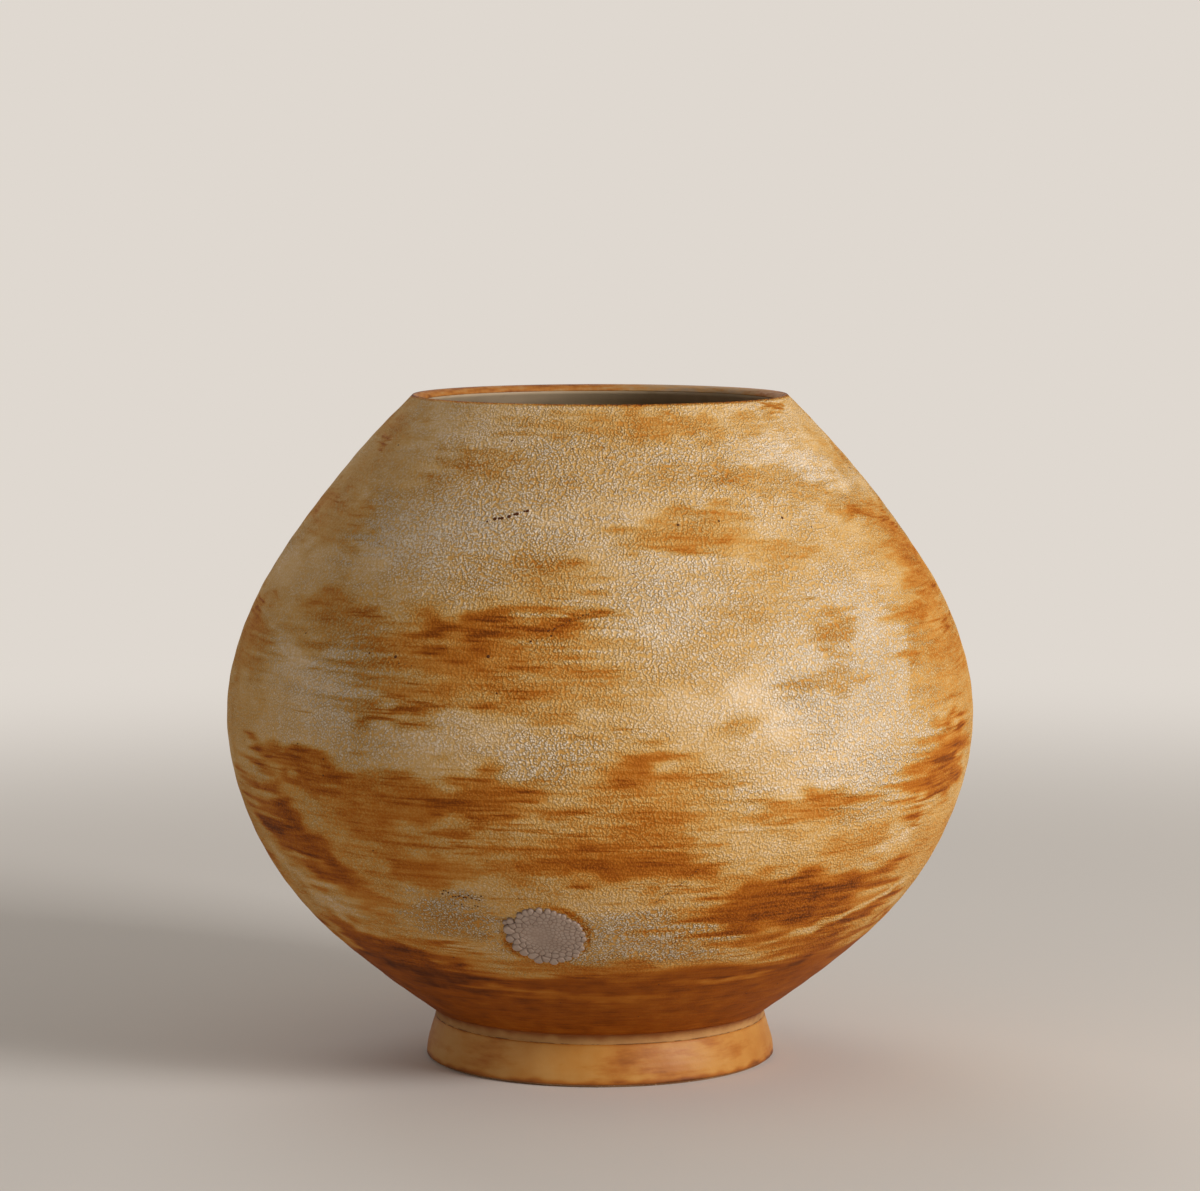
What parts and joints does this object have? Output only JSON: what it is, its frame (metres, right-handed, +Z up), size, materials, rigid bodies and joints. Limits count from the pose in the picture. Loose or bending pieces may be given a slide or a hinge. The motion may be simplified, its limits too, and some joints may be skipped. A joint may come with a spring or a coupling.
{
  "type": "moon jar",
  "caption": "Round-bellied stoneware jar with a narrower mouth, a short flat lip, a turned foot ring and a round patch of beaded glaze low on the front.",
  "frame": {"origin": "centre of the foot, on the surface that the jar stands on", "axes": "+Z up along the jar's axis, -Y towards the front with the glaze roundel, +X to the right seen from the front"},
  "size_m": [0.3199, 0.32, 0.2852],
  "materials": {
    "stoneware": "bare fired stoneware, fine grog",
    "joining_slip": "matt",
    "liner_glaze": "smooth satin grey-celadon liner",
    "crawled_slip": "matt, finely crawled off-white slip under a brushed ochre iron wash",
    "rim_iron_wash": "matt iron-orange wash",
    "foot_ochre_wash": "smooth satin ochre wash",
    "bead_glaze": "thick grey glaze drawn up into smooth beads"
  },
  "bodies": {
    "root": {"lower_bowl": "stoneware", "belly_slip": "joining_slip", "upper_bowl": "stoneware", "lip_slip": "joining_slip", "mouth_lip": "stoneware", "foot_ring": "stoneware", "foot_slip": "joining_slip", "inner_glaze": "liner_glaze", "slip_coat": "crawled_slip", "rim_wash": "rim_iron_wash", "foot_wash": "foot_ochre_wash", "glaze_roundel": "bead_glaze"}
  },
  "joints": []
}
